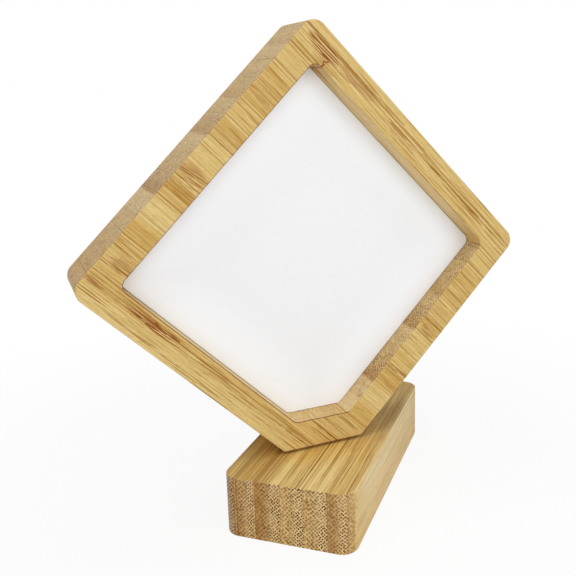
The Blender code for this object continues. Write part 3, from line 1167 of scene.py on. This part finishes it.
@dataclass
class FrameBoard:
    """The square board on its cut corner, with its window and the ledge inside."""

    stack: SwivelStack
    tree: RoundedShellTree
    side: float = 0.100
    thickness: float = 0.0204
    border: float = 0.0090
    corner_radius: float = 0.0040
    foot_width: float = 0.0256
    foot_corner_radius: float = 0.0022
    window_corner_radius: float = 0.0025
    easing: float = 0.0003
    ledge_thickness: float = 0.0016
    ledge_width: float = 0.0080
    ledge_easing: float = 0.00015
    magnet_hole_radius: float = 0.00315
    foot_hole_radius: float = 0.0032
    foot_hole_depth: float = 0.0075

    @property
    def half_diagonal(self) -> float:
        """Return half the square's diagonal."""
        return self.side / math.sqrt(2)

    @property
    def rise(self) -> float:
        """Return how far the board's middle is above its foot."""
        return self.half_diagonal - self.foot_width / 2

    @property
    def middle(self) -> Vector:
        """Return the middle of the board."""
        return self.place(0, self.rise, 0)

    @property
    def corners(self) -> list[tuple[float, float, float]]:
        """Return the sharp corners of the outline round its middle, and which of them the foot has."""
        half, foot = self.half_diagonal, self.foot_width / 2
        return [(-foot, foot - half, 1), (-half, 0, 0), (0, half, 0), (half, 0, 0), (foot, foot - half, 1)]

    @property
    def sizes(self) -> dict[str, float]:
        """Return the sizes that the shell's tree takes."""
        return {"Corner Radius": self.corner_radius, "Foot Radius": self.foot_corner_radius,
                "Window Radius": self.window_corner_radius, "Border": self.border}

    @property
    def upright(self) -> Matrix:
        """Return the turn and move that stand the outline's plane up, with its reach towards the rear."""
        return Matrix.Translation(self.middle) @ Matrix(((1, 0, 0), (0, 0, 1), (0, 1, 0))).to_4x4()

    def place(self, x: float, z: float, reach: float) -> Vector:
        """Return a point by its place in the board's plane and how far behind the middle it is."""
        return Vector((x, self.stack.axis.y + reach, self.stack.foot_level + z))

    def magnet_places(self) -> list[Point]:
        """Find the middle of each long side of the ledge.

        Returns:
            Each one's (x, height over the foot).
        """
        floor = self.border + self.ledge_width / 2
        half = self.half_diagonal - floor * math.sqrt(2)
        flat = half - (self.rise - floor)
        upper = (half / 2, self.rise + half / 2)
        lower = ((half + flat) / 2, (self.rise + floor) / 2)
        return [(side * x, z) for x, z in (upper, lower) for side in (-1, 1)]

    def section(self) -> list[Ring]:
        """Lay out the board's section.

        Returns:
            The rings, from the outer wall over the front to the rear.
        """
        turn, tip = self.easing, self.ledge_easing
        face, ledge = self.thickness / 2, self.ledge_thickness / 2
        front = Ring.arc(turn, turn - face, turn, 180, 270)
        front += Ring.arc(-turn, turn - face, turn, 270, 360, wall=1)
        front.append(Ring(0, -ledge, wall=1))
        front += Ring.arc(self.ledge_width - tip, tip - ledge, tip, 270, 360, 2, wall=1, even=1)
        return front + [Ring(ring.inset, -ring.reach, ring.wall, ring.even) for ring in reversed(front)]

    def build(self, finish: BambooFinish) -> None:
        """Make the board.

        Args:
            finish: Its finish.
        """
        material = finish.material()
        piece = self.tree.build("frame_board", self.corners, self.section(), self.upright,
                                self.sizes | {"Material": material}, closed=True)
        radius, reach = self.magnet_hole_radius, self.ledge_thickness
        holes = [Maker.punch("magnet_hole", radius, reach, self.place(x, z, 0))
                 for x, z in self.magnet_places()]
        level, depth = self.stack.foot_level, self.foot_hole_depth
        holes.append(Maker.drill("foot_hole", self.foot_hole_radius, level - depth, level + depth,
                                 self.stack.axis, Maker.hole_steps))
        Maker.cut(piece, holes)
        Maker.dress(piece, Body.FRAME, Slot.BAMBOO, material, ["bamboo_frame"])


@dataclass
class PhotoInsert:
    """One coated panel in its recess, with steel discs let into its back."""

    board: FrameBoard
    name: str
    side: int
    body: Body
    thickness: float = 0.0015
    seat_gap: float = 0.0003
    edge_gap: float = 0.00014
    easing: float = 0.0001
    disc_thickness: float = 0.0005
    glue_gap: float = 0.00015

    @property
    def back(self) -> float:
        """Return how far the panel's back is from the board's middle."""
        return self.board.ledge_thickness / 2 + self.seat_gap

    def build(self, finish: CoatedPanelFinish) -> None:
        """Make the panel.

        Args:
            finish: Its finish.
        """
        turn, back, face = self.easing, self.back, self.back + self.thickness
        inset = self.edge_gap + turn
        rings = [Ring(0, back, hub=1), *Ring.arc(inset, back + turn, turn, 270, 180, 2, wall=1),
                 *Ring.arc(inset, face - turn, turn, 180, 90, 2, wall=1), Ring(0, face, hub=1)]
        board, material = self.board, finish.material()
        piece = board.tree.build(self.name + "_panel", board.corners, rings,
                                 board.upright @ Matrix.Diagonal((1, 1, self.side, 1)),
                                 board.sizes | {"Material": material})
        depth = self.disc_thickness + self.glue_gap
        Maker.cut(piece, [Maker.punch("pocket", board.magnet_hole_radius, depth,
                                      board.place(x, z, self.side * back)) for x, z in board.magnet_places()])
        Maker.dress(piece, self.body, Slot.COATED_WHITE, material, [self.name])


@dataclass
class DiscSet:
    """Four magnets or steel discs at the magnets' places."""

    board: FrameBoard
    name: str
    nodes: str
    body: Body
    slot: Slot
    reach: float
    thickness: float
    radius: float = 0.0030
    chamfer: float = 0.0001
    steps: int = 48

    def build(self, tree: DiscSetTree, finish: MetalFinish) -> None:
        """Make the discs.

        Args:
            tree: The tree that makes them.
            finish: Their finish.
        """
        places = [self.board.place(x, z, self.reach) for x, z in self.board.magnet_places()]
        piece = tree.points(self.name, places, {})
        material = finish.material()
        tree.apply(piece, {"Radius": self.radius, "Thickness": self.thickness, "Chamfer": self.chamfer,
                           "Steps": self.steps, "Material": material})
        corners = ("upper_left", "upper_right", "lower_left", "lower_right")
        Maker.dress(piece, self.body, self.slot, material, [f"{self.nodes}_{corner}" for corner in corners])


@dataclass
class BaseBlock:
    """The rectangular block of bamboo that the frame swivels on."""

    stack: SwivelStack
    tree: RoundedShellTree
    middle: Vector
    turn: float
    width: float = 0.0400
    length: float = 0.0840
    corner_radius: float = 0.0048
    easing: float = 0.0003
    counterbore_radius: float = 0.0055
    counterbore_depth: float = 0.00705
    bush_hole_radius: float = 0.0034
    bush_hole_start: float = 0.0005

    def build(self, finish: BambooFinish) -> None:
        """Make the block.

        Args:
            finish: Its finish.
        """
        turn, height = self.easing, self.stack.base_height
        rings = [Ring(0, 0, hub=1), *Ring.arc(turn, turn, turn, 270, 180),
                 *Ring.arc(turn, height - turn, turn, 180, 90), Ring(0, height, hub=1)]
        corners = [(x * self.width / 2, y * self.length / 2, 0)
                   for x, y in ((-1, -1), (1, -1), (1, 1), (-1, 1))]
        material = finish.material()
        piece = self.tree.build("base_board", corners, rings,
                                Matrix.Translation(self.middle) @ Matrix.Rotation(self.turn, 4, "Z"),
                                {"Corner Radius": self.corner_radius, "Material": material})
        holes = (("bush_bore", self.bush_hole_radius, self.bush_hole_start, 2 * height),
                 ("well", self.counterbore_radius, -self.counterbore_depth, self.counterbore_depth))
        Maker.cut(piece, [Maker.drill(*hole, self.stack.axis) for hole in holes])
        Maker.dress(piece, Body.BASE, Slot.BAMBOO, material, ["base_block"])


@dataclass(frozen=True)
class Lamp:
    """A square soft lamp: its direction in degrees, distance and side in metres, and power in watts."""

    name: str
    azimuth: float
    elevation: float
    distance: float
    size: float
    power: float


@dataclass
class Studio:
    """The floor, the light and the camera.

    `target` is what the lamps face, `glow` how strongly the world lights the object, and `sheen` where and
    how far the floor turns from its own look to plain white. The camera's angles are in degrees.
    """

    target: Vector
    floor_size: float = 4.0
    paper: Colour = (0.86, 0.86, 0.86)
    sheen: tuple[float, float, float, float] = (0.06, 0.22, 0.90, 1.0)
    glow: float = 0.04
    viewpoint: tuple[float, float, float] = (-0.085733, -0.210671, 0.128067)
    azimuth: float = -24.18
    elevation: float = 12.46
    roll: float = 1.13
    lens: float = 46.866
    sensor: float = 36
    shift: Point = (-0.07057, -0.06361)
    clip: Point = (0.01, 50)

    def floor(self) -> None:
        """Lay a white floor that keeps the object's shadow."""
        mesh = bmesh.new()
        bmesh.ops.create_grid(mesh, x_segments=1, y_segments=1, size=self.floor_size)
        piece = Maker.from_bmesh("floor", mesh)
        make = Shader("floor_white")
        make.tree.nodes.clear()
        paper = make.add("ShaderNodeBsdfDiffuse", Color=self.paper)
        glow = make.add("ShaderNodeEmission", Strength=1.0)
        reach = make.add("ShaderNodeVectorMath", make.add("ShaderNodeTexCoord", out="Object"), out="Value",
                         operation="LENGTH")
        share = make.seen() * reach.ease(*self.sheen)
        make.node("ShaderNodeOutputMaterial", make.add("ShaderNodeMixShader", share, paper, glow))
        piece.data.materials.append(make.material)

    def world(self) -> None:
        """Surround the object with even white light, which looks white itself."""
        world = bpy.data.worlds.new("studio")
        bpy.context.scene.world = world
        world.use_nodes = True
        make = Nodes(world.node_tree)
        sky = make.tree.nodes["Background"].inputs
        make.feed(sky["Color"], (1, 1, 1))
        make.feed(sky["Strength"], make.seen().ease(0.0, 1.0, self.glow, 1.0, "LINEAR"))

    @staticmethod
    def away(azimuth: float, elevation: float) -> Vector:
        """Return the direction at an azimuth, 0 in front and 90 to the right, and an elevation, in degrees."""
        a, e = math.radians(azimuth), math.radians(elevation)
        return Vector((math.sin(a) * math.cos(e), -math.cos(a) * math.cos(e), math.sin(e)))

    def light(self, lamps: Sequence[Lamp]) -> None:
        """Add lamps that face the object.

        Args:
            lamps: The lamps.
        """
        for lamp in lamps:
            data = bpy.data.lights.new(lamp.name, "AREA")
            data.size, data.energy = lamp.size, lamp.power
            made = Maker.link(lamp.name, data)
            away = self.away(lamp.azimuth, lamp.elevation)
            made.location = self.target + away * lamp.distance
            made.rotation_euler = away.to_track_quat("Z", "Y").to_euler()

    def camera(self) -> None:
        """Add the camera at the photograph's viewpoint."""
        data = bpy.data.cameras.new("camera")
        data.sensor_width, data.lens = self.sensor, self.lens
        data.shift_x, data.shift_y = self.shift
        data.clip_start, data.clip_end = self.clip
        camera = Maker.link("camera", data)
        back, roll = self.away(self.azimuth, self.elevation), math.radians(self.roll)
        right = (-back).cross(Vector((0, 0, 1))).normalized()
        up = back.cross(right)
        cosine, sine = math.cos(roll), math.sin(roll)
        turn = Matrix((right * cosine - up * sine, right * sine + up * cosine, back)).transposed()
        camera.matrix_world = Matrix.Translation(self.viewpoint) @ turn.to_4x4()
        bpy.context.scene.camera = camera


FRAME_STRIPS = (
    Strip(-51.0, Tone.PALE, Tone.STRAW, EndTone.UMBER, EndTone.UMBER, 0.3, 0.9, 0.40),
    Strip(-44.1, Tone.HONEY, Tone.HONEY, EndTone.TAN, EndTone.UMBER, 0.9, 0.9, 0.50, 1.0, 0.80),
    Strip(-37.1, Tone.STRAW, Tone.HONEY, EndTone.TAN, EndTone.TAN, 0.7, 0.9, 0.50, 1.0, 0.80),
    Strip(-30.1, Tone.GOLD, Tone.GOLD, EndTone.SAND, EndTone.TAN, 1.0, 0.5, 0.40, 1.0, 0.70),
    Strip(-23.2, Tone.PALE, Tone.PALE, EndTone.CREAM, EndTone.CREAM, 0.7, 0.45, 0.30),
    Strip(-16.4, Tone.GOLD, Tone.AMBER, EndTone.UMBER, EndTone.UMBER, 1.0, 0.7, 0.95),
    Strip(-9.3, Tone.STRAW, Tone.HONEY, EndTone.SAND, EndTone.TAN, 1.0, 0.9, 0.60),
    Strip(-2.4, Tone.STRAW, Tone.PALE, EndTone.SAND, EndTone.CREAM, 0.5, 0.65, 0.40),
    Strip(4.6, Tone.STRAW, Tone.AMBER, EndTone.TAN, EndTone.UMBER, 0.9, 0.85, 0.75),
    Strip(11.6, Tone.STRAW, Tone.HONEY, EndTone.SAND, EndTone.SAND, 0.9, 0.75, 0.50),
    Strip(18.5, Tone.HONEY, Tone.AMBER, EndTone.TAN, EndTone.TAN, 0.7, 0.85, 0.50),
    Strip(25.0, Tone.GOLD, Tone.HONEY, EndTone.SAND, EndTone.SAND, 0.7, 0.7, 0.55),
    Strip(32.0, Tone.STRAW, Tone.STRAW, EndTone.SAND, EndTone.CREAM, 1.0, 0.5, 0.45),
    Strip(38.9, Tone.STRAW, Tone.STRAW, EndTone.SAND, EndTone.SAND, 0.9, 0.9, 0.50),
    Strip(45.6, Tone.STRAW, Tone.STRAW, EndTone.SAND, EndTone.SAND, 0.9, 1.0, 0.45),
)

FRAME_STOP = 52.6

FRAME_KNOTS = (
    Knot(-41.0, 45.2, 7.5, 2.4, 0.95),
    Knot(-38.5, 41.6, 5.0, 2.2, 0.30, 0.9),
    Knot(-28.0, 45.6, 10.0, 1.8, 0.45),
    Knot(-6.0, 45.0, 10.0, 1.2, 0.45),
    Knot(-25.0, -43.4, 13.0, 1.7, 0.85),
    Knot(-47.0, -43.6, 4.0, 1.2, 0.5),
    Knot(-4.0, -43.2, 8.0, 1.3, 0.45),
    Knot(-46.0, -6.2, 6.0, 3.4, 0.42, 0.0, -1.5),
    Knot(-43.0, -36.0, 6.0, 2.6, 0.35, 0.0, -0.5),
    Knot(45.5, 7.5, 4.0, 2.0, 0.4),
)

BASE_STRIPS = (
    Strip(-23.4, Tone.STRAW, Tone.HONEY, EndTone.DUSK, EndTone.CHAR, 0.8, 0.9, 0.95),
    Strip(-16.2, Tone.GOLD, Tone.AMBER, EndTone.UMBER, EndTone.UMBER, 1.0, 0.9, 0.85),
    Strip(-9.6, Tone.RUSSET, Tone.CREAM, EndTone.BARK, EndTone.UMBER, 0.6, 0.7, 1.0, 0.64),
    Strip(-1.8, Tone.STRAW, Tone.CREAM, EndTone.STRAW, EndTone.TAN, 0.6, 1.0, 1.0),
    Strip(5.2, Tone.CREAM, Tone.PALE, EndTone.STRAW, EndTone.SAND, 0.7, 1.0, 1.0),
    Strip(12.4, Tone.STRAW, Tone.HONEY, EndTone.UMBER, EndTone.UMBER, 0.7, 0.9, 0.85),
    Strip(18.1, Tone.PALE, Tone.PALE, EndTone.TAN, EndTone.TAN, 0.6, 0.8, 0.75),
)

BASE_STOP = 27.0

BASE_KNOTS = (
    Knot(24.0, -4.0, 9.0, 3.0, 0.6),
    Knot(30.0, 9.0, 6.0, 2.5, 0.4),
)

LAMPS = (
    Lamp("front", -24, 12, 1.2, 0.8, 4.2),
    Lamp("front_high", -10, 45, 1.0, 0.7, 0.95),
    Lamp("front_right", 25, 20, 1.0, 0.8, 3.4),
    Lamp("left", -80, 25, 1.0, 0.8, 1.15),
    Lamp("left_high", -70, 55, 1.0, 0.8, 1.5),
    Lamp("right", 75, 25, 1.0, 0.8, 1.15),
    Lamp("top", 0, 88, 1.0, 0.8, 5.1),
)

BASE_TURN = math.radians(-43)
BASE_OFFSET = Vector((0.0043, 0.0083, 0))
# middle of the painted shade that stands for the frame's shadow on the base's top
CONTACT_SHADE_SPOT = (-8.3, -4.3)
LAMP_TARGET = Vector((0, 0, 0.07))


def main() -> None:
    """Build the object's pieces, its light and its camera."""
    logging.basicConfig(level=logging.INFO, format="%(message)s")
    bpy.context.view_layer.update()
    _, base_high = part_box("base_block")
    frame_low, frame_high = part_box("bamboo_frame")
    level = Matrix.Rotation(BASE_TURN, 3, "Z")
    axis = Vector((0, (frame_low.y + frame_high.y) / 2, 0))
    stack = SwivelStack(axis, frame_low.z, base_high.z)

    shells = RoundedShellTree()
    board = FrameBoard(stack, shells)
    grain, stacked = Vector((SLANT, 0, -SLANT)), Vector((SLANT, 0, SLANT))
    board.build(BambooFinish(
        "bamboo_board", grain, stacked, board.middle, FRAME_STRIPS, FRAME_STOP, FRAME_KNOTS,
        window=(board.side / 2 - board.border) / MILLIMETRE, foot=board.rise / MILLIMETRE))
    base = BaseBlock(stack, shells, axis + level @ BASE_OFFSET, BASE_TURN)
    base.build(BambooFinish("bamboo_base", level @ Vector((0, 1, 0)), level @ Vector((1, 0, 0)),
                            base.middle + Vector((0, 0, base_high.z / 2)), BASE_STRIPS, BASE_STOP, BASE_KNOTS,
                            worn=CONTACT_SHADE_SPOT, end_low=0.25, end_high=0.60, end_seam=0.90, side_share=0.52,
                            side_fade=0.35, side_tone=(232, 211, 166), low_side_tone=(222, 189, 132),
                            line_length=2.2))

    discs = DiscSetTree()
    DiscSet(board, "ledge_magnets", "ledge_magnet", Body.FRAME, Slot.NICKEL, 0, board.ledge_thickness).build(
        discs, MetalFinish("nickel_plate", (214, 210, 200), (196, 191, 180), 0.22))
    for name, side, body in (("front_insert", -1, Body.FRONT_INSERT), ("rear_insert", 1, Body.REAR_INSERT)):
        insert = PhotoInsert(board, name, side, body)
        insert.build(CoatedPanelFinish(name + "_coat", Vector((0, side, 0)), grain, stacked, board.middle))
        place = side * (insert.back + insert.disc_thickness / 2)
        nodes = name.replace("insert", "disc")
        DiscSet(board, nodes + "s", nodes, body, Slot.ZINC_STEEL, place, insert.disc_thickness).build(
            discs, MetalFinish(nodes + "_zinc", (200, 203, 206), (176, 179, 184), 0.32))

    steel = MetalFinish("zinc_steel", (196, 199, 204), (170, 173, 180), 0.32, axis).material()
    brass = MetalFinish("turned_brass", (214, 180, 112), (190, 152, 88), 0.28, axis).material()
    hardware = {"pivot_bolt": steel, "disc_spring": steel, "bolt_washer": steel, "pivot_bush": brass,
                "threaded_insert": brass, "slip_washer": NylonFinish("black_nylon").material()}
    for name, material in hardware.items():
        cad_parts[name].data.materials.clear()
        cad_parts[name].data.materials.append(material)
        LOG.info("%s: keeps its own shape, in %s", name, material.name)

    studio = Studio(LAMP_TARGET)
    studio.floor()
    studio.world()
    studio.light(LAMPS)
    studio.camera()
    bpy.context.scene.view_settings.view_transform = "Standard"


if __name__ == "__main__":
    main()
